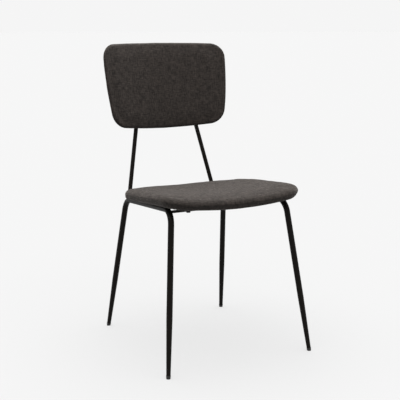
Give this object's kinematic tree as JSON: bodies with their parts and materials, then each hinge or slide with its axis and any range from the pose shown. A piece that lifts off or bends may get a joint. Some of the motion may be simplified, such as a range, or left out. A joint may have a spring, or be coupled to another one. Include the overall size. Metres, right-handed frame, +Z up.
{
  "type": "dining chair",
  "caption": "Armless dining chair with a padded seat and a padded curved back on two thin rods, on a bent tube frame with slim tapered legs.",
  "frame": {"origin": "on the floor, under the middle of the chair's overall box", "axes": "+Z up; the chair faces -Y; +X is the sitter's left"},
  "size_m": [0.4418, 0.5187, 0.8297],
  "materials": {
    "frame_paint": "satin",
    "upholstery": "matte",
    "dust_cloth": "matte",
    "foam": "matte",
    "plywood": "matte",
    "glide_plastic": "matte",
    "black_steel": "satin",
    "zinc_steel": "satin"
  },
  "bodies": {
    "root": {"backrest_board": "plywood", "backrest_cover": "upholstery", "backrest_front_foam": "foam", "backrest_rear_foam": "foam", "backrest_screws": "black_steel", "backrest_tee_nuts": "zinc_steel", "dust_cover_staples": "zinc_steel", "front_cross_bar": "frame_paint", "left_back_upright": "frame_paint", "left_front_glide": "glide_plastic", "left_rear_glide": "glide_plastic", "left_side_frame": "frame_paint", "rear_cross_bar": "frame_paint", "right_back_upright": "frame_paint", "right_front_glide": "glide_plastic", "right_rear_glide": "glide_plastic", "right_side_frame": "frame_paint", "seat_board": "plywood", "seat_cover": "upholstery", "seat_dust_cover": "dust_cloth", "seat_foam": "foam", "seat_screws": "black_steel", "seat_spacers": "glide_plastic", "seat_tee_nuts": "zinc_steel", "seat_washers": "black_steel"}
  },
  "joints": []
}
